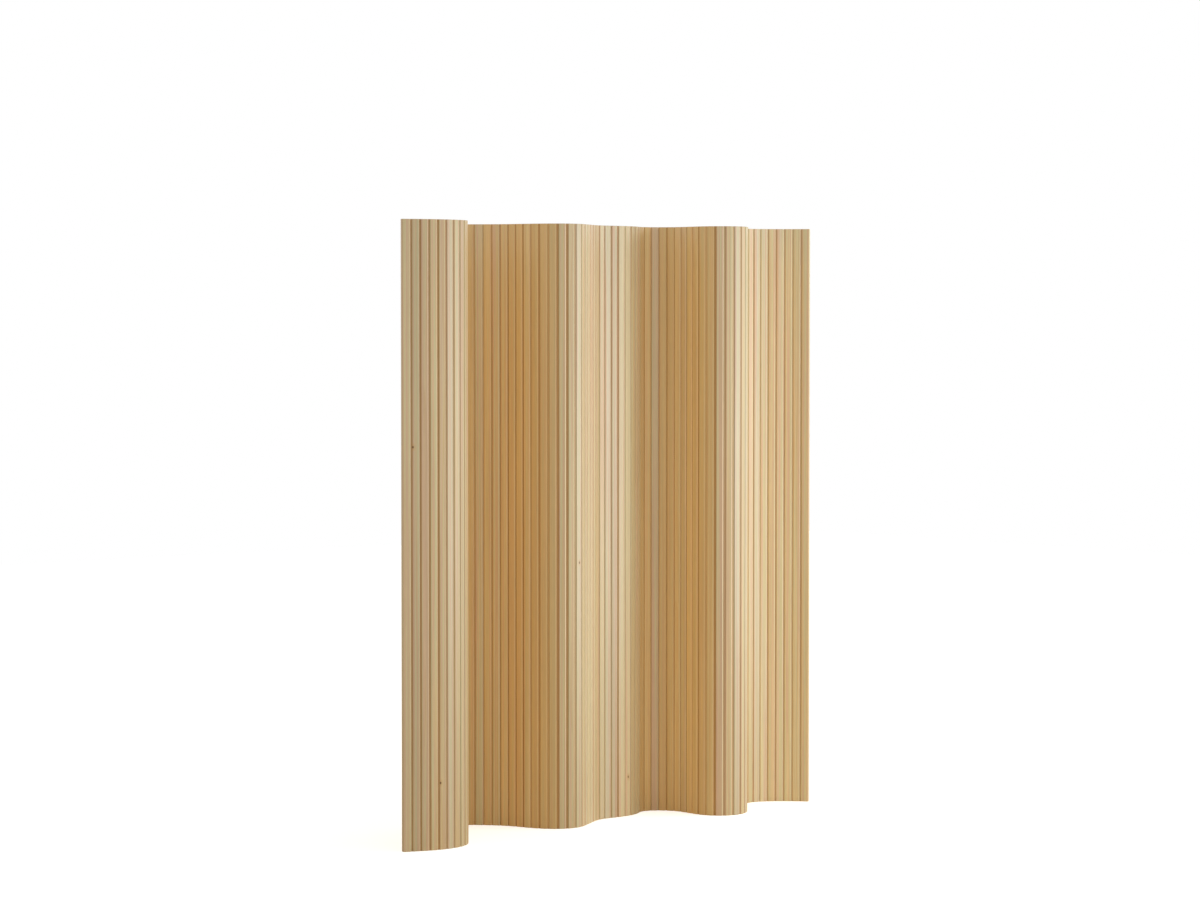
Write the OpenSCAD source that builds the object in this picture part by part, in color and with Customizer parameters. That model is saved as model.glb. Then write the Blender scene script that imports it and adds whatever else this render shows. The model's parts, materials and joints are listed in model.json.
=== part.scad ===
// Flexible wooden slat screen: upright pine slats that turn on each other like the
// slats of a roll-front desk, strung on steel wires and standing in loose folds.
// Sizes in millimetres. The screen stands on z = 0, runs along +X, and its front
// faces -Y.

/* [Screen] */
// Height of the screen, which is the length of every slat
screen_height = 1500; // [600:10:2400]
// Distance from one joint to the next, so the width of a slat
slat_pitch = 22.2; // [18:0.1:40]
// Thickness of a slat from front to back
slat_thickness = 15; // [14:0.5:25]

/* [Slat edges] */
// Depth of the bead's top below the slat's face
bead_inset = 2.5; // [2.2:0.1:4]
// Clearance between a bead and the groove that it turns in
bead_gap = 0.3; // [0.25:0.05:0.5]
// Rounding of the long corners
corner_r = 3.2; // [0.5:0.1:3.3]
// The most that one joint bends, to either side
bend_limit = 30; // [28:1:34]
// Space left between two slat edges at that bend
edge_gap = 0.3; // [0.2:0.05:0.6]

/* [Wires] */
// Number of wires, one above the other
wire_count = 4; // [2:1:6]
// Thickness of a wire
wire_d = 2; // [1.5:0.1:2.5]
// Distance of the lowest wire from the foot, and of the highest from the top
wire_inset = 120; // [40:5:250]
// Width of the holes that the wires run through
wire_hole_d = 5; // [4:0.1:6]
// Extra space round a wire where it turns out of a bead
flare_gap = 0.5; // [0.3:0.1:1]

/* [Wire ends] */
// Width of the round pockets in the two outer edges of the screen
pocket_d = 10; // [9:0.5:11]
// Depth of those pockets
pocket_depth = 12; // [10.6:0.2:14]
// Width of a washer at the bottom of a pocket
washer_d = 9; // [7:0.5:9.5]
// Thickness of that washer
washer_t = 1; // [0.8:0.1:1.2]
// Width of the sleeve that is crimped onto a wire's end
sleeve_d = 5; // [4:0.5:6]
// Length of that sleeve
sleeve_length = 6; // [4:0.5:6]
// Space between a sleeve or washer and the wire through it
sleeve_gap = 0.05; // [0.02:0.01:0.1]
// Thickness of the wooden plug that closes a pocket
plug_t = 3; // [2:0.2:3.4]
// Space round that plug
plug_gap = 0.05; // [0.02:0.01:0.1]

/* [Hidden] */
// How the screen stands, from its left end to its right end. Each row is a stretch of
// like bends: the number of strips, the slats in each strip, the turn in degrees where
// a strip meets the one before, and the turn from slat to slat inside the strip.
// A turn to the left is positive.
stretches = [
    // The left end, curling round to the back
    [1, 3, 0, 0],
    [4, 1, 8, 0],
    [2, 1, 12, 0],
    [2, 2, 13, 13],
    [1, 2, 8, 6],
    // The bend at the back, behind the left end
    [1, 4, -1, -3],
    [3, 2, -14, -14],
    [2, 2, -11, -10],
    [1, 4, -5, -3],
    [2, 2, -6, -7],
    // The first ridge
    [1, 2, 2, 6],
    [2, 1, 10, 0],
    [4, 1, 19, 0],
    [1, 4, 2, 0],
    // The step in its right flank
    [1, 2, -9, -13],
    [1, 3, -11, 0],
    [2, 2, 10, 10],
    // The second hollow
    [2, 1, -26, 0],
    [2, 1, -18, 0],
    [1, 2, -13, -15],
    [1, 3, -13, 0],
    // The second ridge
    [1, 2, 12, 17],
    [4, 1, 20, 0],
    [1, 1, 14, 0],
    [1, 2, 13, 11],
    [1, 2, 4, 0],
    // The right end
    [1, 3, -8, -11],
    [4, 1, -14, 0],
    [1, 2, -8, -6],
    [1, 3, -4, -3]
];

// One entry for each strip: its slats, the turn before it and the turn inside it
strips = [for (row = stretches) for (copy = [1:row[0]]) [row[1], row[2], row[3]]];
strip_first = [for (s = 0, first = 0; s < len(strips); first = first + strips[s][0], s = s + 1) first];
turns = [for (strip = strips) for (k = [1:strip[0]]) k == 1 ? strip[1] : strip[2]];
slat_count = len(turns);

// The line of the joints, first laid out from the left end along +X
loose_heading = [for (i = 0, h = 0; i < slat_count; i = i + 1, h = h + (i < slat_count ? turns[i] : 0)) h];
function steps_along(headings) =
    [for (i = 0, at = [0, 0]; i <= slat_count; at = at + (i < slat_count ? step(headings[i]) : [0, 0]), i = i + 1) at];
function step(heading) = slat_pitch * [cos(heading), sin(heading)];
loose_end = steps_along(loose_heading)[slat_count];
// Then turned so that the right end lies straight along +X from the left end
heading = [for (h = loose_heading) h - atan2(loose_end[1], loose_end[0])];
joint_line = steps_along(heading);

$fn = 48;
half = slat_thickness / 2;
bead_r = half - bead_inset;
groove_r = bead_r + bead_gap;
// Slope of a slat's edge faces, which meet within edge_gap at the most bend
slope = (bend_limit + atan(edge_gap / groove_r)) / 2;
corner_y = half - corner_r;
corner_x = corner_r / cos(slope) + corner_y * tan(slope);
// Foot of a corner's curve on the sloping edge face
curve_x = corner_x - corner_r * cos(slope);
curve_y = corner_y + corner_r * sin(slope);
through = 1;
wire_r = wire_d / 2;
flare_length = bead_r + through;

// The screen's outline from above is held by these circles, which place it on its origin
function held(i) = concat(
    [for (side = [-1, 1]) [left_corner_x(i), side * corner_y, corner_r]],
    [for (side = [-1, 1]) [right_corner_x(i), side * corner_y, corner_r]],
    i < slat_count - 1 ? [[slat_pitch, 0, bead_r]] : []
);
function left_corner_x(i) = i == 0 ? corner_r : corner_x;
function right_corner_x(i) = slat_pitch - (i == slat_count - 1 ? corner_r : corner_x);
function seen(i, p) =
    [for (axis = [0, 1]) joint_line[i][axis] + [p[0], p[1]] * turned_axis(heading[i], axis)];
function turned_axis(h, axis) = axis == 0 ? [cos(h), -sin(h)] : [sin(h), cos(h)];
reach_high = [for (axis = [0, 1]) max([for (i = [0:slat_count - 1]) for (p = held(i)) seen(i, p)[axis] + p[2]])];
reach_low = [for (axis = [0, 1]) min([for (i = [0:slat_count - 1]) for (p = held(i)) seen(i, p)[axis] - p[2]])];
middle = (reach_high + reach_low) / 2;

function wire_z(k) = wire_inset + k * (screen_height - 2 * wire_inset) / (wire_count - 1);
sleeve_end = pocket_depth - washer_t - sleeve_length;

function two_digits(n) = n < 10 ? str("0", n) : str(n);
function strip_name(s) = strips[s][0] == 1
    ? str("slat_", two_digits(strip_first[s] + 1))
    : str("slats_", two_digits(strip_first[s] + 1), "_", two_digits(strip_first[s] + strips[s][0]));
STRIP_NODES = [for (s = [0:len(strips) - 1]) strip_name(s)];

// Clear pine, some slats creamy and some more tan
pine_tones = ["#E6CFA0", "#DDBE8C", "#E2C796", "#D9B584", "#E8D4A8"];
function pine_tone(i) = pine_tones[(i * 7 + 3) % len(pine_tones)];

// The wood of a slat before it is grooved and drilled, with the joint on its left at the
// origin: a flat board, a round at each long corner and the bead on its right edge
module slat_blank(i) {
    linear_extrude(height = screen_height) polygon(concat(left_edge(i == 0), right_edge(i == slat_count - 1)));
    for (side = [-1, 1]) {
        upright(left_corner_x(i), side * corner_y, corner_r);
        upright(right_corner_x(i), side * corner_y, corner_r);
    }
    if (i < slat_count - 1) upright(slat_pitch, 0, bead_r);
}

module upright(x, y, r) {
    translate([x, y, 0]) cylinder(h = screen_height, r = r);
}

// The two edges as points, the left one from its front to its back and the right one
// from its back to its front
function left_edge(plain) = plain
    ? [[corner_r, -half], [0, -corner_y], [0, corner_y], [corner_r, half]]
    : [[corner_x, -half], [curve_x, -curve_y], [0, 0], [curve_x, curve_y], [corner_x, half]];
function right_edge(plain) =
    [for (p = reversed(left_edge(plain))) [slat_pitch - p[0], p[1]]];
function reversed(list) = [for (k = [len(list) - 1:-1:0]) list[k]];

// Holes for one wire: straight through, and flared where the wire leaves the bead
module wire_hole(i) {
    rotate([0, 90, 0]) translate([0, 0, -through]) cylinder(h = slat_pitch + bead_r + 2 * through, d = wire_hole_d);
    if (i < slat_count - 1)
        translate([slat_pitch, 0, 0])
            rotate([0, 90, 0])
                cylinder(
                    h = flare_length,
                    r1 = wire_r + flare_gap,
                    r2 = wire_r + flare_gap + flare_length * tan(bend_limit)
                );
}

// Pocket for a wire's end in an outer edge, bored along +X from the origin
module pocket() {
    translate([-through, 0, 0]) rotate([0, 90, 0]) cylinder(h = pocket_depth + through, d = pocket_d);
}

module slat(i) {
    color(pine_tone(i)) difference() {
        slat_blank(i);
        if (i > 0) translate([0, 0, -through]) cylinder(h = screen_height + 2 * through, r = groove_r);
        for (k = [0:wire_count - 1]) translate([0, 0, wire_z(k)]) {
            wire_hole(i);
            if (i == 0) pocket();
            if (i == slat_count - 1) translate([slat_pitch, 0, 0]) mirror([1, 0, 0]) pocket();
        }
    }
}

// Puts what is drawn in a slat's own place where that slat stands
module at_slat(i) {
    translate([joint_line[i][0] - middle[0], joint_line[i][1] - middle[1], 0]) rotate([0, 0, heading[i]]) children();
}

module slat_strip(s) {
    for (i = [strip_first[s]:strip_first[s] + strips[s][0] - 1]) at_slat(i) slat(i);
}

// A wire runs straight from joint to joint and is cut off flush with its two sleeves
wire_sides = 8;
wire_start = joint_line[0] + sleeve_end / slat_pitch * step(heading[0]);
wire_stop = joint_line[slat_count] - sleeve_end / slat_pitch * step(heading[slat_count - 1]);
wire_line = concat([wire_start], [for (i = [1:slat_count - 1]) joint_line[i]], [wire_stop]);
function ring_heading(i) = i == 0 ? heading[0]
    : i == slat_count ? heading[slat_count - 1]
    : (heading[i - 1] + heading[i]) / 2;
function wire_ring(i) = [
    for (k = [0:wire_sides - 1])
        let (a = 360 * k / wire_sides, across = wire_r * cos(a), up = wire_r * sin(a))
            [
                wire_line[i][0] - middle[0] - across * sin(ring_heading(i)),
                wire_line[i][1] - middle[1] + across * cos(ring_heading(i)),
                up
            ]
];
module wire() {
    rings = len(wire_line);
    points = [for (i = [0:rings - 1]) for (p = wire_ring(i)) p];
    walls = [
        for (i = [0:rings - 2]) for (k = [0:wire_sides - 1])
            let (
                a = i * wire_sides + k,
                b = i * wire_sides + (k + 1) % wire_sides,
                c = b + wire_sides,
                d = a + wire_sides
            )
                for (face = [[a, d, c], [a, c, b]]) face
    ];
    start_cap = [for (k = [0:wire_sides - 1]) k];
    stop_cap = [for (k = [wire_sides - 1:-1:0]) (rings - 1) * wire_sides + k];
    polyhedron(points, concat([start_cap], walls, [stop_cap]));
}

module wires() {
    color("#9C9C98") for (k = [0:wire_count - 1]) translate([0, 0, wire_z(k)]) wire();
}

// Ring with a wire through it, along +X from the origin
module ring(length, outer_d) {
    rotate([0, 90, 0]) difference() {
        cylinder(h = length, d = outer_d);
        translate([0, 0, -through]) cylinder(h = length + 2 * through, r = wire_r + sleeve_gap);
    }
}

// Repeats a wire's end fitting at each wire, in the left or the right outer edge,
// drawn with +X pointing into the wood
module at_wire_ends(is_left) {
    for (k = [0:wire_count - 1]) {
        if (is_left) at_slat(0) translate([0, 0, wire_z(k)]) children();
        else at_slat(slat_count - 1) translate([slat_pitch, 0, wire_z(k)]) mirror([1, 0, 0]) children();
    }
}

module washers(is_left) {
    color("#A8A8A4") at_wire_ends(is_left) translate([pocket_depth - washer_t, 0, 0]) ring(washer_t, washer_d);
}

module stop_sleeves(is_left) {
    color("#B9B6AE") at_wire_ends(is_left) translate([sleeve_end, 0, 0]) ring(sleeve_length, sleeve_d);
}

module plugs(is_left) {
    color("#E0C794") at_wire_ends(is_left) rotate([0, 90, 0]) cylinder(h = plug_t, d = pocket_d - 2 * plug_gap);
}

for (s = [0:len(strips) - 1]) slat_strip(s);
wires();
washers(true);  // washers_left
washers(false);  // washers_right
stop_sleeves(true);  // stop_sleeves_left
stop_sleeves(false);  // stop_sleeves_right
plugs(true);  // plugs_left
plugs(false);  // plugs_right
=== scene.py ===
# %% [markdown]
# # A flexible slat screen in lacquered pine
# The screen is ninety upright pine slats. Each has a round bead on its right edge that
# turns in a groove of the next slat, and four steel wires run through all of them. The
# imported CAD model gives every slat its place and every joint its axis. This script
# models the slats again with eased ends, gives them wood that looks sawn from a log,
# and lights them as in a plain studio.

import json
import math
import random

import bmesh
import bpy
import numpy as np
from mathutils import Matrix

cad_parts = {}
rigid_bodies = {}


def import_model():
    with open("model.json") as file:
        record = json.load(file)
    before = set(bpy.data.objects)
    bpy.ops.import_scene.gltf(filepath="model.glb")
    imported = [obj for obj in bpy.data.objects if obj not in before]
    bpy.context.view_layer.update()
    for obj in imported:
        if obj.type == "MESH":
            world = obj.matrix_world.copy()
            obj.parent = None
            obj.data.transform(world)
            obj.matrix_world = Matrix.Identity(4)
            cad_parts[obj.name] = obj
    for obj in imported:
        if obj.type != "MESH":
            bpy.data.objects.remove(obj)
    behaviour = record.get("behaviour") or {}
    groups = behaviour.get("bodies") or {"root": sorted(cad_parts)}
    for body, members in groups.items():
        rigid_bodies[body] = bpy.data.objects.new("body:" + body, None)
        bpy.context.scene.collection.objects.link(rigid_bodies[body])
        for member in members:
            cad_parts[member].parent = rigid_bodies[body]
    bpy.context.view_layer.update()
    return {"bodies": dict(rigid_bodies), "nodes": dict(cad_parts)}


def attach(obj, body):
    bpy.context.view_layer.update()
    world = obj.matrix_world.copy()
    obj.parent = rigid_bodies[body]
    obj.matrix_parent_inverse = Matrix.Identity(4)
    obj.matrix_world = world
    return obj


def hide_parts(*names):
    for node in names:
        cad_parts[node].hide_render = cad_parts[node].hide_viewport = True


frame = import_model()

# %% [markdown]
# ## Camera
# A long lens about nine metres off keeps the uprights nearly parallel, as in a
# catalogue picture. Its place was found by matching the slats' tops, feet and seams.
# It stands at the front left and looks down by two degrees.

# %% Camera
PHOTO_WIDTH = 1200
FOCAL_IN_PIXELS = 3459.8
SENSOR_WIDTH = 36.0
CAMERA_PLACE = (-5.6403, -6.6257, 1.2490)
LOOKS_DOWN_DEG = 2.0557
LOOKS_RIGHT_DEG = 40.648

lens_data = bpy.data.cameras.new("photo_camera")
lens_data.sensor_width = SENSOR_WIDTH
lens_data.lens = FOCAL_IN_PIXELS / PHOTO_WIDTH * lens_data.sensor_width
camera = bpy.data.objects.new("photo_camera", lens_data)
camera.location = CAMERA_PLACE
camera.rotation_euler = (math.radians(90 - LOOKS_DOWN_DEG), 0, math.radians(-LOOKS_RIGHT_DEG))
bpy.context.scene.collection.objects.link(camera)
bpy.context.scene.camera = camera
print("lens", round(lens_data.lens, 1), "mm")

# %% [markdown]
# ## Sizes
# These are the sizes of the CAD source, in metres here. Only the easing of the ends is
# this script's own. The edge faces of a slat slope back a little from its bead and its
# groove, which is what lets two slats turn by thirty degrees before their edges meet.

# %% Sizes of a slat
MM = 0.001
HEIGHT = 1500 * MM
PITCH = 22.2 * MM
HALF = 7.5 * MM
BEAD_R = 5.0 * MM
GROOVE_R = 5.3 * MM
PLAY = 0.3 * MM
CORNER_R = 3.2 * MM
END_EASE = 0.8 * MM
JOINT_TURNS = math.radians(30)
SLOPE = (JOINT_TURNS + math.atan(PLAY / GROOVE_R)) / 2
SHOULDER_X = HALF * math.tan(SLOPE)
CURVE_X = CORNER_R / math.cos(SLOPE) + (HALF - CORNER_R) * math.tan(SLOPE)
print("a slat is", PITCH, "wide,", 2 * HALF, "thick and", HEIGHT, "high")

# %% Sizes of the wires and their holes
WIRE_Z = [z * MM for z in (120, 540, 960, 1380)]
WIRE_R = 1.0 * MM
WIRE_END = 5.0 * MM
HOLE_R = 2.5 * MM
POCKET_R = 5.0 * MM
POCKET_DEPTH = 12.0 * MM
FUNNEL_START_R = 1.5 * MM
FUNNEL_LENGTH = BEAD_R + 1.0 * MM
print(len(WIRE_Z), "wires at heights", [round(z, 2) for z in WIRE_Z])

# %% [markdown]
# ## How the screen stands
# Each row is a stretch of like bends: the number of strips, the slats in each strip,
# the turn in degrees where a strip meets the one before, and the turn inside the strip.
# Walking along the rows gives the line of the joints and each slat's heading. The line
# is then turned so that its two ends lie along X, and its box is centred, as in the CAD.

# %% The stretches
STRETCHES = [
    (1, 3, 0, 0), (4, 1, 8, 0), (2, 1, 12, 0), (2, 2, 13, 13), (1, 2, 8, 6),
    (1, 4, -1, -3), (3, 2, -14, -14), (2, 2, -11, -10), (1, 4, -5, -3), (2, 2, -6, -7),
    (1, 2, 2, 6), (2, 1, 10, 0), (4, 1, 19, 0), (1, 4, 2, 0),
    (1, 2, -9, -13), (1, 3, -11, 0), (2, 2, 10, 10),
    (2, 1, -26, 0), (2, 1, -18, 0), (1, 2, -13, -15), (1, 3, -13, 0),
    (1, 2, 12, 17), (4, 1, 20, 0), (1, 1, 14, 0), (1, 2, 13, 11), (1, 2, 4, 0),
    (1, 3, -8, -11), (4, 1, -14, 0), (1, 2, -8, -6), (1, 3, -4, -3),
]
turns, strip_of, strip_names = [], [], []
for copies, slats, turn_before, turn_inside in STRETCHES:
    for _ in range(copies):
        first = len(turns) + 1
        last = first + slats - 1
        strip_names.append(f"slat_{first:02d}" if slats == 1 else f"slats_{first:02d}_{last:02d}")
        turns += [turn_before] + [turn_inside] * (slats - 1)
        strip_of += [len(strip_names) - 1] * slats
SLATS = len(turns)
assert all(name in frame["bodies"] for name in strip_names)
print(SLATS, "slats in", len(strip_names), "strips")

# %% The line of the joints
BOX_MIDDLE = np.array([671.431, 118.643]) * MM
loose = np.radians(np.cumsum(turns))
loose_end = np.array([np.cos(loose).sum(), np.sin(loose).sum()])
heading = loose - math.atan2(loose_end[1], loose_end[0])
steps = PITCH * np.stack([np.cos(heading), np.sin(heading)], axis=1)
joint_line = np.vstack([[0, 0], np.cumsum(steps, axis=0)]) - BOX_MIDDLE
print("joint line from", joint_line[0].round(4), "to", joint_line[-1].round(4))


def place_of_slat(k, z=0.0):
    """Where slat k + 1 stands, with its left joint on the line and its edges along it."""
    return Matrix.Translation((*joint_line[k], z)) @ Matrix.Rotation(heading[k], 4, "Z")


# %% [markdown]
# ## Small helpers for modelling
# An operator acts on whatever is selected, and the loaded CAD nodes start out selected.
# So each step first clears the selection, then picks vertices or edges in code by where
# they are, as a hand would by clicking on them.

# %% Selecting
SAME_PLACE = 1e-6


def near(a, b):
    return abs(a - b) < SAME_PLACE


def clear_selection():
    bpy.ops.object.select_all(action="DESELECT")


def take_up(piece):
    clear_selection()
    bpy.context.view_layer.objects.active = piece
    piece.select_set(True)


def pick(piece, kind, wanted):
    """In edit mode, selects the verts or the edges for which wanted is true."""
    bpy.ops.mesh.select_mode(type={"verts": "VERT", "edges": "EDGE"}[kind])
    bpy.ops.mesh.select_all(action="DESELECT")
    shape = bmesh.from_edit_mesh(piece.data)
    picked = [item for item in getattr(shape, kind) if wanted(item)]
    for item in picked:
        item.select_set(True)
    bmesh.update_edit_mesh(piece.data)
    return len(picked)


# %% Carving and placing
def carve(piece, tool, operation):
    """Joins the tool to the piece, or cuts it out, with a Boolean that is applied."""
    take_up(piece)
    step = piece.modifiers.new("carve", "BOOLEAN")
    step.operation = operation
    step.solver = "EXACT"
    step.object = tool
    bpy.ops.object.modifier_apply(modifier=step.name)
    bpy.data.meshes.remove(tool.data)


def settle():
    """Moves the active piece's place, turn and size into its mesh, and returns the piece."""
    bpy.ops.object.transform_apply(location=True, rotation=True, scale=True)
    return bpy.context.object


# %% [markdown]
# ## The board of a slat
# On the real screen a slat is planed from a board. It starts here as a cube of the
# board's size. A bisect gives each edge face a middle line, which is pulled out to the
# joint, so the faces slope. Moving the edge with a transform keeps the slope exact, which
# a scaled end face would not. A bevel then rounds the four long corners. Those beside the
# bead get a flatter profile, because on the screen they show as narrow bright facets.

# %% The board
CORNER_STEPS = 6
ROUND_PROFILE = 0.5
FLATTER_PROFILE = 0.3


def pull_edge(piece, from_x, to_x):
    """Moves the middle line of the edge face at from_x, so that the face slopes."""
    pick(piece, "verts", lambda v: near(v.co.y, 0) and near(v.co.x, from_x))
    bpy.ops.transform.translate(value=(to_x - from_x, 0, 0))


def round_corners(piece, x, turn, profile):
    """Rounds the two long corners at x, where the surface turns by the angle turn."""
    corners = pick(piece, "edges", lambda e: all(
        near(abs(v.co.y), HALF) and near(v.co.x, x) for v in e.verts))
    bpy.ops.mesh.bevel(offset=CORNER_R * math.tan(turn / 2), segments=CORNER_STEPS,
                       profile=profile, affect="EDGES")
    assert corners == 2


def board(name, plain_left, plain_right):
    left = 0 if plain_left else SHOULDER_X
    right = PITCH if plain_right else PITCH - SHOULDER_X
    clear_selection()
    bpy.ops.mesh.primitive_cube_add(size=1, location=((left + right) / 2, 0, HEIGHT / 2))
    piece = bpy.context.object
    piece.name = name
    piece.scale = (right - left, 2 * HALF, HEIGHT)
    settle()
    bpy.ops.object.mode_set(mode="EDIT")
    bpy.ops.mesh.select_all(action="SELECT")
    bpy.ops.mesh.bisect(plane_co=(0, 0, 0), plane_no=(0, 1, 0))
    pull_edge(piece, left, 0)
    pull_edge(piece, right, PITCH)
    square, sloped = math.radians(90), math.radians(90) - SLOPE
    round_corners(piece, left, square if plain_left else sloped, ROUND_PROFILE)
    round_corners(piece, right, square if plain_right else sloped,
                  ROUND_PROFILE if plain_right else FLATTER_PROFILE)
    bpy.ops.object.mode_set(mode="OBJECT")
    return piece


# %% [markdown]
# ## Bead and groove
# The bead is a long rod that stands out of the right edge, and the groove is the same
# rod, a little thicker, taken out of the left edge. A Boolean is the nearest thing to
# the moulding cutter that makes both. Small flat faces left over in the two ends are
# then dissolved, so that each end is one face. Two last cuts, just inside the rounded
# corners, hold the shading of the broad faces flat. Without them smooth shading would
# run from one corner to the other and make each slat look like a pillow.

# %% Bead and groove
ROD_SIDES = 48
CUTTER_PAST_ENDS = 5 * MM
FLAT_WITHIN = math.radians(1)
HOLD = 0.3 * MM


def rod(radius, x, past_ends):
    clear_selection()
    bpy.ops.mesh.primitive_cylinder_add(
        vertices=ROD_SIDES, radius=radius, depth=HEIGHT + 2 * past_ends,
        location=(x, 0, HEIGHT / 2))
    return settle()


def mould_edges(piece, plain_left, plain_right):
    if not plain_right:
        carve(piece, rod(BEAD_R, PITCH, 0), "UNION")
    if not plain_left:
        carve(piece, rod(GROOVE_R, 0, CUTTER_PAST_ENDS), "DIFFERENCE")
    take_up(piece)
    bpy.ops.object.mode_set(mode="EDIT")
    bpy.ops.mesh.select_all(action="SELECT")
    bpy.ops.mesh.remove_doubles(threshold=SAME_PLACE)
    bpy.ops.mesh.dissolve_limited(angle_limit=FLAT_WITHIN)
    left_hold = (CORNER_R if plain_left else CURVE_X) + HOLD
    right_hold = PITCH - (CORNER_R if plain_right else CURVE_X) - HOLD
    for x in (left_hold, right_hold):
        bpy.ops.mesh.select_all(action="SELECT")
        bpy.ops.mesh.bisect(plane_co=(x, 0, 0), plane_no=(1, 0, 0))
    bpy.ops.object.mode_set(mode="OBJECT")


# %% [markdown]
# ## Eased ends
# A sawn end is broken with sandpaper before lacquering, or it would splinter. All the
# edges round both ends are picked and bevelled together, so the light catches them as a
# thin line. A bevel modifier would also round the lips of the groove, which stay crisp.

# %% Eased ends
EASE_STEPS = 3


def ease_ends(piece):
    take_up(piece)
    bpy.ops.object.mode_set(mode="EDIT")
    found = pick(piece, "edges", lambda e: all(near(v.co.z, 0) for v in e.verts)
                 or all(near(v.co.z, HEIGHT) for v in e.verts))
    bpy.ops.mesh.bevel(offset=END_EASE, segments=EASE_STEPS, affect="EDGES")
    bpy.ops.object.mode_set(mode="OBJECT")
    return found


# %% [markdown]
# ## Holes for the wires
# A long drill goes through each slat four times. Where a wire leaves the bead its hole
# opens like a funnel, as wide as the joint turns, so the wire isn't pinched. The two
# outer slats have round pockets in their plain edges for the wires' ends.

# %% Wire holes
DRILL_SIDES = 20
DRILL_PAST_WOOD = 1.0 * MM
WOOD_CREASE = math.radians(30)
FUNNEL_END_R = FUNNEL_START_R + FUNNEL_LENGTH * math.tan(JOINT_TURNS)


def drills(start_r, end_r, start_x, end_x):
    """One object with a drill at the height of each wire, along X."""
    clear_selection()
    made = []
    for z in WIRE_Z:
        bpy.ops.mesh.primitive_cone_add(
            vertices=DRILL_SIDES, radius1=start_r, radius2=end_r, depth=end_x - start_x,
            location=((start_x + end_x) / 2, 0, z), rotation=(0, math.pi / 2, 0))
        made.append(bpy.context.object)
    for one in made:
        one.select_set(True)
    bpy.ops.object.join()
    return settle()


def drill_holes(piece, plain_left, plain_right):
    before, after = -DRILL_PAST_WOOD, PITCH + DRILL_PAST_WOOD
    cuts = [(HOLE_R, HOLE_R, before, PITCH + BEAD_R + DRILL_PAST_WOOD)]
    if plain_left:
        cuts.append((POCKET_R, POCKET_R, before, POCKET_DEPTH))
    if plain_right:
        cuts.append((POCKET_R, POCKET_R, PITCH - POCKET_DEPTH, after))
    else:
        cuts.append((FUNNEL_START_R, FUNNEL_END_R, PITCH, PITCH + FUNNEL_LENGTH))
    for cut in cuts:
        carve(piece, drills(*cut), "DIFFERENCE")
    take_up(piece)
    bpy.ops.object.shade_smooth_by_angle(angle=WOOD_CREASE)


# %% The three kinds of slat
def slat_model(name, plain_left=False, plain_right=False):
    piece = board(name, plain_left, plain_right)
    mould_edges(piece, plain_left, plain_right)
    eased = ease_ends(piece)
    drill_holes(piece, plain_left, plain_right)
    print(name, "has", len(piece.data.polygons), "faces and", eased, "eased edges")
    return piece


left_model = slat_model("left_model", plain_left=True)
middle_model = slat_model("middle_model")
right_model = slat_model("right_model", plain_right=True)

# %% [markdown]
# ## Where each slat was sawn from
# Wood looks right when its figure runs through the piece. So each slat is given a place
# in an imaginary log, at some distance from the pith and turned by some angle, and its
# vertices keep that place as an attribute. The material draws growth rings round the
# log's axis. A slat turned one way then shows straight close lines, and turned another
# way broad flames, and both meet at its corners. A second attribute keeps the distance
# from each of the slat's two joints and its height, others its tone, how strong its
# figure is, how dark its joints are, and the place of its pin knot. The plain edge of
# the last slat has no joint, so that distance is made very large there. Chance gives each
# slat and joint its tone. The sets below then correct it for most slats and half the
# joints in view. A slat is named where chance left it too dark, too pale, too orange, too
# pink or not creamy enough beside the photograph, and a joint where it was too pale or
# too dark.

# %% Slats and joints whose tone from chance is corrected
PINK_SLATS = {2, 3, 61, 70}
# The cream set is mostly slats turned to the lamp: partly the pine's own tone, partly a painted
# sheen
CREAM_SLATS = {6, 44, 46, 47, 48, 51, 52, 53, 54, 72, 74, 84, 85, 87}
BEIGE_SLATS = {1, 8, 43, 45, 49, 55, 83, 86, 88}
# The orange set is the slats of the two hollows: partly own tone, partly painted warm bounced
# light
ORANGE_SLATS = {31, *range(33, 42), 59, 60, *range(62, 70)}
# Pale and dark sets: partly each slat's own lightness, partly painted light and shade, as in the
# ridge's shadow
PALE_SLATS = {32, 54, 55, 58, 60, 66, 85, 87, 88}
DARK_SLATS = {2, 5, 7, 8, 39, 41, 43, 50, 53, 56, 57, 62, 63, 68, 69, 72, 73, 74}
# Dark and pale joints get more or less of the joint colour: lacquer, dust and painted shade
# A joint has the number of the slat on its left, and 0 is the outer edge of slat 1
DARK_JOINTS = {*range(0, 5), *range(34, 38), 39, 41, 42, 53, 62, 64, 65, 67, 69}
PALE_JOINTS = {7, 8, 44, 46, 47, 49, 51, 54, 55, 56, 73, 84}
# Slat number: distance across its face and height of a pin knot in it, in metres
KNOTS = {2: (0.0035, 0.961), 5: (0.004, 0.16), 44: (0.013, 0.66), 55: (0.012, 0.10),
         75: (0.009, 0.08)}
# A place outside the wood, for the slats that have no knot
NO_KNOT = (0.5, 9.0)
# The plain edge of slat 1 gets the joints' painted shade as if it lay this far beside a
# joint, that of the last slat as if it lay a metre off, so that it gets none
OUTER_EDGE_SHADE_OFFSET = 1.8 * MM
NO_JOINT = 1.0

# %% What chance gives each slat and joint
SLAT_SEED = 4100
JOINT_SEED = 7300
PITH_RANGE = (0.05, 0.16)
ALONG_LOG_RANGE = (0, 40)
LIGHT_RANGE = (-0.5, 0.5)
WARM_RANGE = (-0.3, 0.3)
CREAM_RANGE = (0, 0.3)
CONTRAST_RANGE = (0.5, 1.0)
JOINT_RANGE = (0.32, 0.52)
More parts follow.
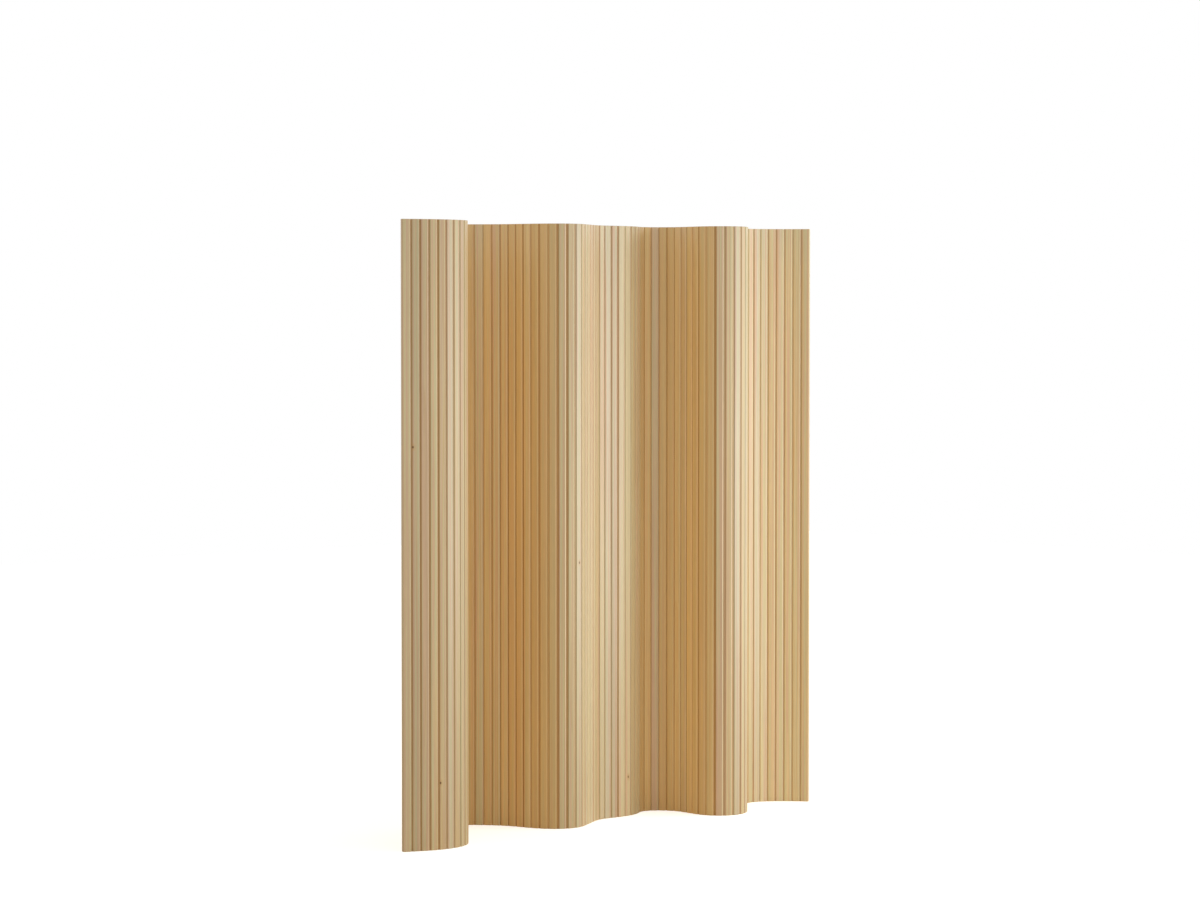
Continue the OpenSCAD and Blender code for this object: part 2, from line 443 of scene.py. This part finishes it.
# How far a set above moves the tone of its slats, or the darkness of its joints
LIGHT_STEP, WARM_STEP, CREAM_STEP, BEIGE_STEP = 0.8, 0.7, 0.6, 0.3
DARK_JOINT_STEP, PALE_JOINT_STEP = 0.28, 0.35


# %% Attributes of one slat
def keep(mesh, name, values):
    """Keeps three numbers for each vertex, which a material can read by that name."""
    kept = mesh.attributes.new(name, "FLOAT_VECTOR", "POINT")
    kept.data.foreach_set("vector", values.astype(np.float32).ravel())


def tone_of_slat(number, chance):
    """How light, how pink rather than orange, and how creamy a slat is."""
    light = chance.uniform(*LIGHT_RANGE)
    light += LIGHT_STEP * ((number in PALE_SLATS) - (number in DARK_SLATS))
    warm = chance.uniform(*WARM_RANGE)
    warm += WARM_STEP * ((number in PINK_SLATS) - (number in ORANGE_SLATS))
    cream = chance.uniform(*CREAM_RANGE)
    cream += CREAM_STEP * (number in CREAM_SLATS) + BEIGE_STEP * (number in BEIGE_SLATS)
    return [light, warm, cream]


def joint_darkness(number):
    """How much lacquer, dust and painted shade a joint shows, from 0 to 1, the same on both its
    sides.
    """
    plain = random.Random(JOINT_SEED + number).uniform(*JOINT_RANGE)
    darker = DARK_JOINT_STEP * (number in DARK_JOINTS)
    return plain + darker - PALE_JOINT_STEP * (number in PALE_JOINTS)


def mark_timber(mesh, number):
    own = np.empty(len(mesh.vertices) * 3, dtype=np.float32)
    mesh.vertices.foreach_get("co", own)
    own = own.reshape(-1, 3)
    chance = random.Random(SLAT_SEED + number)
    saw_turn = chance.uniform(0, math.pi)
    pith = chance.uniform(*PITH_RANGE)
    along = chance.uniform(*ALONG_LOG_RANGE)
    across, through = own[:, 0] - PITCH / 2, own[:, 1]
    log = np.stack([
        pith + across * math.cos(saw_turn) - through * math.sin(saw_turn),
        across * math.sin(saw_turn) + through * math.cos(saw_turn),
        own[:, 2] + along,
    ], axis=1)
    tone = tone_of_slat(number, chance)
    contrast = chance.uniform(*CONTRAST_RANGE)
    # Slat 1's plain edge is placed as if beside a joint, so that it gets painted shade
    right_of_joint = own[:, 0] + (OUTER_EDGE_SHADE_OFFSET if number == 1 else 0)
    left_of_joint = PITCH - own[:, 0] + (NO_JOINT if number == SLATS else 0)
    knot_x, knot_z = KNOTS.get(number, NO_KNOT)
    figure = [contrast, joint_darkness(number - 1), joint_darkness(number)]
    keep(mesh, "log_place", log)
    keep(mesh, "joint_place", np.stack([right_of_joint, left_of_joint, own[:, 2]], axis=1))
    keep(mesh, "slat_tone", np.tile(tone, (len(own), 1)))
    keep(mesh, "slat_figure", np.tile(figure, (len(own), 1)))
    keep(mesh, "knot_place", own - np.array([knot_x, 0, knot_z]))


# %% [markdown]
# ## Node helpers
# A material is a tree of nodes. The first helper adds a node with its settings and its
# inputs in one line, and the others are the few kinds of node that come back again and
# again, so the trees below can be read from top to bottom.

# %% Adding nodes
def node(tree, kind, inputs=None, **settings):
    made = tree.nodes.new(kind)
    for name, value in settings.items():
        setattr(made, name, value)
    for key, value in (inputs or {}).items():
        feed(tree, made.inputs[key], value)
    return made


def feed(tree, socket, value):
    """Links an output to the socket, or sets the socket to a constant."""
    if isinstance(value, bpy.types.NodeSocket):
        tree.links.new(value, socket)
    else:
        socket.default_value = value


def maths(tree, operation, a, b=0.0):
    return node(tree, "ShaderNodeMath", {0: a, 1: b}, operation=operation).outputs[0]


def ramp(tree, value, low, high, to_low=0.0, to_high=1.0):
    """Runs smoothly from to_low to to_high while value goes from low to high."""
    return node(tree, "ShaderNodeMapRange", {
        "Value": value, "From Min": low, "From Max": high, "To Min": to_low, "To Max": to_high,
    }, interpolation_type="SMOOTHSTEP").outputs["Result"]


# %% Mixing, reading and noise
def blend(tree, amount, a, b, how="MIX"):
    made = node(tree, "ShaderNodeMix", data_type="RGBA", blend_type=how, clamp_factor=True)
    factor, first, second = made.inputs[0], made.inputs[6], made.inputs[7]
    for socket, value in ((factor, amount), (first, a), (second, b)):
        feed(tree, socket, value)
    return made.outputs[2]


def read(tree, name):
    return node(tree, "ShaderNodeAttribute", attribute_name=name).outputs["Vector"]


def three_parts(tree, vector):
    return node(tree, "ShaderNodeSeparateXYZ", {0: vector}).outputs


def stretched(tree, place, by):
    return node(tree, "ShaderNodeVectorMath", {0: place, 1: by}, operation="MULTIPLY").outputs[0]


def length_of(tree, vector):
    return node(tree, "ShaderNodeVectorMath", {0: vector}, operation="LENGTH").outputs["Value"]


def noise(tree, place, detail, scale=1.0, roughness=0.5):
    inputs = {"Vector": place, "Scale": scale, "Detail": detail, "Roughness": roughness}
    return node(tree, "ShaderNodeTexNoise", inputs).outputs["Fac"]


# %% Groups and materials
def group(name, ins, outs):
    """A node group with named sockets. ins and outs map a name to its kind of socket."""
    tree = bpy.data.node_groups.new(name, "ShaderNodeTree")
    for direction, sockets in (("INPUT", ins), ("OUTPUT", outs)):
        for label, kind in sockets.items():
            tree.interface.new_socket(label, in_out=direction, socket_type=f"NodeSocket{kind}")
    entry = tree.nodes.new("NodeGroupInput")
    way_out = tree.nodes.new("NodeGroupOutput")
    return tree, entry.outputs, way_out.inputs


def new_material(name):
    made = bpy.data.materials.new(name)
    made.use_nodes = True
    tree = made.node_tree
    return made, tree, tree.nodes["Principled BSDF"]


def finish_surface(tree, shader, sockets, height, strength, depth):
    """Feeds the shader's sockets, and bumps its surface by height."""
    for name, value in sockets.items():
        feed(tree, shader.inputs[name], value)
    bump = node(tree, "ShaderNodeBump", {
        "Height": height, "Strength": strength, "Distance": depth})
    feed(tree, shader.inputs["Normal"], bump.outputs["Normal"])


# %% [markdown]
# ## Growth rings and fibres
# Pine shows pale spring wood that darkens slowly to a thin line of summer wood, then
# starts pale again. A saw-tooth of the distance from the pith does just that. Noise that
# is stretched a long way up the log makes the rings wander. Finer noise makes the
# fibres, and broader noise the streaks of tone and their slow drift along a slat.

# %% Pine figure
# How fine each noise is across the log, in X and Y, and along it, in Z
WANDER_BY = (14, 14, 1.1)
FIBRE_BY = (1500, 1500, 22)
STREAK_BY = (240, 240, 1.1)
DRIFT_BY = (90, 90, 2.2)
WANDER_REACH = 0.014
SUMMER_STARTS = 0.30
SUMMER_ENDS = 0.93

pine_figure, given, result = group(
    "pine_figure",
    {"Log place": "Vector", "Ring width": "Float"},
    {"Summer wood": "Float", "Fibre": "Float", "Streak": "Float", "Drift": "Float"})
tree = pine_figure
place = given["Log place"]
wander = noise(tree, stretched(tree, place, WANDER_BY), detail=2.0)
from_pith = length_of(tree, stretched(tree, place, (1, 1, 0)))
wandered = maths(tree, "ADD", from_pith, maths(tree, "MULTIPLY", wander, WANDER_REACH))
tooth = maths(tree, "FRACT", maths(tree, "DIVIDE", wandered, given["Ring width"]))
rise = ramp(tree, tooth, SUMMER_STARTS, SUMMER_ENDS)
fall = ramp(tree, tooth, SUMMER_ENDS, 1.0, 1.0, 0.0)
feed(tree, result["Summer wood"], maths(tree, "MULTIPLY", rise, fall))
feed(tree, result["Fibre"],
     noise(tree, stretched(tree, place, FIBRE_BY), detail=2.0, roughness=0.6))
feed(tree, result["Streak"], noise(tree, stretched(tree, place, STREAK_BY), detail=1.5))
feed(tree, result["Drift"], noise(tree, stretched(tree, place, DRIFT_BY), detail=3.0))
print("group", tree.name, "has", len(tree.nodes), "nodes")

# %% [markdown]
# ## Pine
# The colour of the spring wood is mixed with that of the summer wood by the rings, then
# moved a little by streaks, fibre, drift and the slat's own tone. Sawn ends soak up more
# lacquer and are darker. The inside of a joint, the bead and the lip beside it, is
# darkened, partly for lacquer and dust and partly as painted shade. The corner beside the
# bead gets a painted highlight, paler, or a clearer orange on the orange slats. A pin knot
# is a small dark spot. The satin lacquer is a coat over rougher wood.

# %% Colours of pine
SPRING = (0.868, 0.668, 0.352, 1)
SUMMER = (0.720, 0.430, 0.160, 1)
PINK = (0.830, 0.560, 0.355, 1)
STRAW = (0.800, 0.700, 0.400, 1)
# Painted highlight, for the corner beside the bead where the light from the right falls
PAINTED_HIGHLIGHT = (0.960, 0.820, 0.540, 1)
ORANGE = (0.980, 0.588, 0.172, 1)
CREAM = (0.820, 0.755, 0.590, 1)
LACQUER = (0.600, 0.340, 0.130, 1)
# Joint colour: lacquer and dust in the joints, and painted shade there
JOINT_DUST_AND_SHADE = (0.470, 0.200, 0.025, 1)
KNOT = (0.190, 0.080, 0.020, 1)

# %% Pine: face colour
RING_WIDTH = 0.0026
RING_STRENGTH = 0.55
# Four numbers for each ramp: the values it runs between, then what it gives at each
PINK_BY_TONE = (0.0, 1.0, 0.0, 0.6)
CREAM_BY_TONE = (0.2, 0.9, 0.0, 0.7)
ORANGE_BY_TONE = (-0.2, -0.8, 0.0, 0.6)
PINK_BY_STREAK = (0.51, 0.60, 0.0, 0.85)
STRAW_BY_STREAK = (0.49, 0.40, 0.0, 0.85)
GREY_BY_TONE = (-1.2, 1.2, 0.86, 1.06)
GREY_BY_FIBRE = (0.25, 0.75, 0.955, 1.045)
GREY_BY_DRIFT = (0.2, 0.8, 0.94, 1.06)

pine, tree, shader = new_material("lacquered_pine")
figure = node(tree, "ShaderNodeGroup", {
    "Log place": read(tree, "log_place"), "Ring width": RING_WIDTH,
}, node_tree=pine_figure).outputs
tone = three_parts(tree, read(tree, "slat_tone"))
strengths = three_parts(tree, read(tree, "slat_figure"))
rings = maths(tree, "MULTIPLY", figure["Summer wood"], strengths["X"])
colour = blend(tree, maths(tree, "MULTIPLY", rings, RING_STRENGTH), SPRING, SUMMER)
colour = blend(tree, ramp(tree, tone["Y"], *PINK_BY_TONE), colour, PINK)
colour = blend(tree, ramp(tree, tone["Z"], *CREAM_BY_TONE), colour, CREAM)
colour = blend(tree, ramp(tree, figure["Streak"], *PINK_BY_STREAK), colour, PINK)
colour = blend(tree, ramp(tree, figure["Streak"], *STRAW_BY_STREAK), colour, STRAW)
how_orange = ramp(tree, tone["Y"], *ORANGE_BY_TONE)
colour = blend(tree, how_orange, colour, ORANGE)
grey = ramp(tree, tone["X"], *GREY_BY_TONE)
grey = maths(tree, "MULTIPLY", grey, ramp(tree, figure["Fibre"], *GREY_BY_FIBRE))
grey = maths(tree, "MULTIPLY", grey, ramp(tree, figure["Drift"], *GREY_BY_DRIFT))
grey_colour = node(tree, "ShaderNodeCombineXYZ", {0: grey, 1: grey, 2: grey}).outputs[0]
colour = blend(tree, 1.0, colour, grey_colour, "MULTIPLY")

# %% Pine: ends and joints
# These ramps run between two distances, in metres, from an end or from a joint
LACQUER_BY_END = (0.0, END_EASE, 0.5, 0.0)
# Painted highlight: how near the bead the paler corner lies, and how strong it is
HIGHLIGHT_BY_JOINT = (0.0034, 0.0046, 0.4, 0.0)
# Lip and bead ramps: where a joint is darkened with lacquer, dust and painted shade
LIP_BY_JOINT = (0.0016, 0.0040, 0.7, 0.0)
BEAD_BY_JOINT = (0.0014, 0.0018, 1.0, 0.0)
# This one runs between two values of the drift
UNEVENLY_BY_DRIFT = (0.3, 0.7, 0.6, 1.0)

joint = three_parts(tree, read(tree, "joint_place"))
from_top = maths(tree, "SUBTRACT", HEIGHT, joint["Z"])
from_end = maths(tree, "MINIMUM", joint["Z"], from_top)
colour = blend(tree, ramp(tree, from_end, *LACQUER_BY_END), colour, LACQUER)
# Painted highlight on the corner beside the bead, made uneven along the slat by the drift
unevenly = ramp(tree, figure["Drift"], *UNEVENLY_BY_DRIFT)
painted_highlight = maths(tree, "MULTIPLY", ramp(tree, joint["Y"], *HIGHLIGHT_BY_JOINT), unevenly)
colour = blend(tree, painted_highlight, colour, blend(tree, how_orange, PAINTED_HIGHLIGHT, ORANGE))
# Darkens the lip and the bead of each joint, partly lacquer and dust, partly painted shade
lip = maths(tree, "MULTIPLY", ramp(tree, joint["X"], *LIP_BY_JOINT), strengths["Y"])
bead = maths(tree, "MULTIPLY", ramp(tree, joint["Y"], *BEAD_BY_JOINT), strengths["Z"])
colour = blend(tree, maths(tree, "MAXIMUM", lip, bead), colour, JOINT_DUST_AND_SHADE)

# %% Pine: knots
# A knot goes right through, is a little taller than wide, and has a dark heart
KNOT_FLATTENED = (1, 0, 0.62)
SUMMER_BY_KNOT = (0.0020, 0.0080, 0.45, 0.0)
HEART_BY_KNOT = (0.0012, 0.0024, 0.95, 0.0)

from_knot = length_of(tree, stretched(tree, read(tree, "knot_place"), KNOT_FLATTENED))
colour = blend(tree, ramp(tree, from_knot, *SUMMER_BY_KNOT), colour, SUMMER)
colour = blend(tree, ramp(tree, from_knot, *HEART_BY_KNOT), colour, KNOT)

# %% Pine: lacquer
ROUGH_BY_FIBRE = (0.2, 0.8, 0.42, 0.54)
GRAIN_STRENGTH = 0.12
GRAIN_DEPTH = 0.0003
SUMMER_STANDS_OUT = 0.5
COAT_WEIGHT = 0.5
COAT_ROUGHNESS = 0.32
LACQUER_IOR = 1.45


def lacquered(tree, shader, colour, fibre, height):
    """The satin finish of all the pine on the screen, over the given colour."""
    finish_surface(tree, shader, {
        "Base Color": colour, "Roughness": ramp(tree, fibre, *ROUGH_BY_FIBRE),
        "Coat Weight": COAT_WEIGHT, "Coat Roughness": COAT_ROUGHNESS, "IOR": LACQUER_IOR,
    }, height, GRAIN_STRENGTH, GRAIN_DEPTH)


raised = maths(tree, "MULTIPLY", figure["Summer wood"], SUMMER_STANDS_OUT)
lacquered(tree, shader, colour, figure["Fibre"], maths(tree, "ADD", figure["Fibre"], raised))
print("material", pine.name, "has", len(tree.nodes), "nodes")

# %% [markdown]
# ## Ninety slats
# Each slat is a copy of one of the three models, with its own mesh. Its timber is marked
# first, while the mesh is still in the slat's own measure. The mesh is then moved to the
# slat's place, so the object stays at the origin, rides on its strip's body and stands
# for its strip's CAD node.

# %% Ninety slats
def stand_up(model, number):
    """Slat number, counted from 1 at the left, where it stands."""
    mesh = model.data.copy()
    mark_timber(mesh, number)
    mesh.transform(place_of_slat(number - 1))
    mesh.materials.clear()
    mesh.materials.append(pine)
    slat = bpy.data.objects.new(f"pine_slat_{number:02d}", mesh)
    bpy.context.scene.collection.objects.link(slat)
    body = strip_names[strip_of[number - 1]]
    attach(slat, body)
    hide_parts(body)
    return slat


slats = [stand_up(left_model, 1)]
slats += [stand_up(middle_model, number) for number in range(2, SLATS)]
slats.append(stand_up(right_model, SLATS))
for model in (left_model, middle_model, right_model):
    bpy.data.meshes.remove(model.data)
print(len(slats), "slats,", sum(len(s.data.polygons) for s in slats), "faces")

# %% [markdown]
# ## The wires
# Each wire is laid of six thin strands round a core. One length of it, as long as a slat
# is wide, is modelled once: a ring of twelve points, with every other point drawn in, is
# twisted along X by the Screw modifier. Its tips end in small domes whose middle is on
# the joint, so that two lengths still meet when the joint turns.

# %% One length of wire
RING_POINTS = 12
BETWEEN_STRANDS = 0.8
TWIST_STEPS = 12


def wire_length(name, start_x, end_x):
    clear_selection()
    bpy.ops.mesh.primitive_circle_add(
        vertices=RING_POINTS, radius=WIRE_R, rotation=(0, math.pi / 2, 0))
    piece = settle()
    piece.name = name
    for point in list(piece.data.vertices)[::2]:
        point.co *= BETWEEN_STRANDS
    twist = piece.modifiers.new("lay", "SCREW")
    twist.axis = "X"
    twist.angle = math.tau * (end_x - start_x) / PITCH
    twist.screw_offset = end_x - start_x
    twist.steps = twist.render_steps = TWIST_STEPS
    twist.use_merge_vertices = False
    take_up(piece)
    bpy.ops.object.modifier_apply(modifier="lay")
    return piece


# %% Domes at its tips
# Each ring of a dome: how far on it lies, in wire radii, and how much narrower it is
DOME_RINGS = ((0.55, 0.85), (0.35, 0.5))
WIRE_CREASE = math.radians(50)


def dome_tips(piece, start_x, end_x):
    """Closes both ends of a length of wire, each with two smaller rings and a cap."""
    take_up(piece)
    bpy.ops.object.mode_set(mode="EDIT")
    for end, way in ((0.0, -1), (end_x - start_x, 1)):
        pick(piece, "edges", lambda e: all(near(v.co.x, end) for v in e.verts))
        for further, narrower in DOME_RINGS:
            step = (way * further * WIRE_R, 0, 0)
            bpy.ops.mesh.extrude_region_move(TRANSFORM_OT_translate={"value": step})
            bpy.ops.transform.resize(value=(1, narrower, narrower))
        bpy.ops.mesh.edge_face_add()
    bpy.ops.mesh.select_all(action="SELECT")
    bpy.ops.mesh.normals_make_consistent(inside=False)
    bpy.ops.object.mode_set(mode="OBJECT")
    piece.data.transform(Matrix.Translation((start_x, 0, 0)))
    bpy.ops.object.shade_smooth_by_angle(angle=WIRE_CREASE)


wire_models = {}
WIRE_REACH = {"first": (WIRE_END, PITCH), "middle": (0.0, PITCH), "last": (0.0, PITCH - WIRE_END)}
for label, reach in WIRE_REACH.items():
    wire_models[label] = wire_length(f"wire_model_{label}", *reach)
    dome_tips(wire_models[label], *reach)
    print("wire", label, len(wire_models[label].data.polygons), "faces")

# %% [markdown]
# ## Drawn metal
# Wire, washers and sleeves share one effect: fine lines from the drawing die or the
# press, and a slow dulling of the zinc or aluminium. It is a group, and each metal
# gives it its own scale.

# %% Drawn metal
LINES_BY = (0.12, 0.12, 1)
DULLING_SCALE = 140.0

drawn_metal, given, result = group(
    "drawn_metal",
    {"Place": "Vector", "Line scale": "Float"},
    {"Lines": "Float", "Dulling": "Float"})
tree = drawn_metal
feed(tree, result["Lines"], noise(
    tree, stretched(tree, given["Place"], LINES_BY), detail=2.0, scale=given["Line scale"]))
feed(tree, result["Dulling"], noise(tree, given["Place"], detail=3.0, scale=DULLING_SCALE))

# %% Three metals
DULL_WITHIN = (0.35, 0.7)
LINES_WITHIN = (0.3, 0.7)
SMOOTHER, ROUGHER = 0.07, 0.09
LINE_STRENGTH = 0.15
LINE_DEPTH = 0.0001


def metal(name, bright, dull, line_scale, roughness):
    made, tree, shader = new_material(name)
    effect = node(tree, "ShaderNodeGroup", {
        "Place": node(tree, "ShaderNodeTexCoord").outputs["Object"], "Line scale": line_scale,
    }, node_tree=drawn_metal).outputs
    dulled = ramp(tree, effect["Dulling"], *DULL_WITHIN)
    rough = ramp(tree, effect["Lines"], *LINES_WITHIN, roughness - SMOOTHER, roughness + ROUGHER)
    finish_surface(tree, shader, {
        "Base Color": blend(tree, dulled, bright, dull), "Roughness": rough, "Metallic": 1.0,
    }, effect["Lines"], LINE_STRENGTH, LINE_DEPTH)
    return made


wire_steel = metal(
    "wire_steel", bright=(0.58, 0.58, 0.57, 1), dull=(0.36, 0.36, 0.35, 1),
    line_scale=2600.0, roughness=0.34)
washer_zinc = metal(
    "washer_zinc", bright=(0.66, 0.67, 0.68, 1), dull=(0.45, 0.46, 0.48, 1),
    line_scale=1800.0, roughness=0.30)
sleeve_aluminium = metal(
    "sleeve_aluminium", bright=(0.78, 0.77, 0.75, 1), dull=(0.58, 0.57, 0.55, 1),
    line_scale=1500.0, roughness=0.42)
print("group", drawn_metal.name, "is used by", drawn_metal.users, "metals")

# %% [markdown]
# ## Wires through the slats
# The lengths inside one strip become one piece, because they move together. It rides on
# the strip's body, and all the runs stand for the CAD's wires, which can't bend.

# %% Wires through the slats
def run_wire(strip):
    """The four wires inside one strip, as one piece that rides on the strip's body."""
    name = f"wire_run_{strip + 1:02d}"
    inside = [k for k in range(SLATS) if strip_of[k] == strip]
    clear_selection()
    for k in inside:
        model = wire_models["first" if k == 0 else "last" if k == SLATS - 1 else "middle"]
        for z in WIRE_Z:
            mesh = model.data.copy()
            mesh.transform(place_of_slat(k, z))
            length = bpy.data.objects.new(name, mesh)
            bpy.context.scene.collection.objects.link(length)
            length.select_set(True)
            bpy.context.view_layer.objects.active = length
    bpy.ops.object.join()
    run = bpy.context.object
    run.name = name
    run.data.materials.clear()
    run.data.materials.append(wire_steel)
    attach(run, strip_names[strip])
    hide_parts("wires")
    return run


runs = [run_wire(strip) for strip in range(len(strip_names))]
for model in wire_models.values():
    bpy.data.meshes.remove(model.data)
print(len(runs), "wire runs,", sum(len(r.data.polygons) for r in runs), "faces")

# %% [markdown]
# ## Wire ends
# The washers, the crimped sleeves and the plugs over them keep their CAD shape. The
# washers and sleeves get their metals. A plug is turned from the same pine, with its
# face grain upright like the slat round it, so it takes its rings from its own place in
# the log rather than from an attribute. It is darkened towards the joint colour, a
# painted shade that matches the shaded plain edge of slat 1.

# %% Plugs
PLUG_IN_LOG = (0.70, 0.12, 3.0)
PLUG_RING_WIDTH = 0.0024
PLUG_RING_STRENGTH = 0.4
# How far a plug is darkened towards the joint colour, a painted shade
PLUG_TONED = 0.45

plug_pine, tree, shader = new_material("plug_pine")
place = node(tree, "ShaderNodeTexCoord").outputs["Object"]
in_log = node(tree, "ShaderNodeMapping", {"Vector": place, "Location": PLUG_IN_LOG}).outputs[0]
figure = node(tree, "ShaderNodeGroup", {
    "Log place": in_log, "Ring width": PLUG_RING_WIDTH}, node_tree=pine_figure).outputs
rings = maths(tree, "MULTIPLY", figure["Summer wood"], PLUG_RING_STRENGTH)
# The plug is darkened towards the joint colour, painted shade like that of the edge round it
colour = blend(tree, PLUG_TONED, blend(tree, rings, SPRING, SUMMER), JOINT_DUST_AND_SHADE)
lacquered(tree, shader, colour, figure["Fibre"], figure["Fibre"])

# %% Wire ends
finish_of = {"washers": washer_zinc, "stop_sleeves": sleeve_aluminium, "plugs": plug_pine}
for side in ("left", "right"):
    for part, finish in finish_of.items():
        mesh = frame["nodes"][f"{part}_{side}"].data
        mesh.materials.clear()
        mesh.materials.append(finish)
print("wire ends finished:", ", ".join(finish_of))

# %% [markdown]
# ## Floor, lamp and background
# The floor is a plain pale sheet, a little warm, so that it sends a warm light back to
# the feet of the slats. Seen by the camera it also glows a little, so that it is as white
# as the background away from the screen, and still darkens in the screen's shadow. The
# world is white to the camera and to reflections, and a soft grey as light. One tall
# soft lamp stands far round to the right. It lights the faces that look right, the
# second ridge shades the hollow behind it, and the valleys get their warm light from the
# slats opposite, as in the photograph.

# %% Floor
FLOOR_HALF = 9.0
FLOOR_COLOUR = (0.95, 0.90, 0.78, 1)
FLOOR_ROUGHNESS = 0.9
FLOOR_GLOW = 0.65
WHITE = (1, 1, 1, 1)

clear_selection()
bpy.ops.mesh.primitive_plane_add(size=2 * FLOOR_HALF, location=(0, 0, 0))
floor = bpy.context.object
floor.name = "studio_floor"
floor_white, tree, shader = new_material("floor_white")
seen = node(tree, "ShaderNodeLightPath").outputs["Is Camera Ray"]
feed(tree, shader.inputs["Base Color"], FLOOR_COLOUR)
feed(tree, shader.inputs["Roughness"], FLOOR_ROUGHNESS)
feed(tree, shader.inputs["Specular IOR Level"], 0.0)
feed(tree, shader.inputs["Emission Color"], WHITE)
feed(tree, shader.inputs["Emission Strength"], maths(tree, "MULTIPLY", seen, FLOOR_GLOW))
floor.data.materials.append(floor_white)

# %% World
AMBIENT = 0.545

world = bpy.data.worlds.new("studio")
bpy.context.scene.world = world
world.use_nodes = True
tree = world.node_tree
path = node(tree, "ShaderNodeLightPath").outputs
mirrored = maths(tree, "MAXIMUM", path["Is Glossy Ray"], path["Is Transmission Ray"])
shown = maths(tree, "MAXIMUM", path["Is Camera Ray"], mirrored)
background = tree.nodes["Background"].inputs
feed(tree, background["Color"], WHITE)
feed(tree, background["Strength"], ramp(tree, shown, 0.0, 1.0, AMBIENT, 1.0))

# %% Lamp
LAMP_PLACE = (1.80, -1.42, 0.95)
LAMP_AIM = (0.75, 0.00, 0.80)
LAMP_WIDTH = 1.4
LAMP_HEIGHT = 2.2
LAMP_WATTS = 26.8

light = bpy.data.lights.new("key", "AREA")
light.shape = "RECTANGLE"
light.size, light.size_y = LAMP_WIDTH, LAMP_HEIGHT
light.energy = LAMP_WATTS
lamp = bpy.data.objects.new("key", light)
lamp.location = LAMP_PLACE
away = np.array(LAMP_PLACE) - np.array(LAMP_AIM)
tilt = math.atan2(math.hypot(away[0], away[1]), away[2])
lamp.rotation_euler = (tilt, 0, math.atan2(away[1], away[0]) + math.pi / 2)
bpy.context.scene.collection.objects.link(lamp)
bpy.context.scene.view_settings.view_transform = "Standard"
print("lamp", LAMP_WATTS, "W, world", AMBIENT)
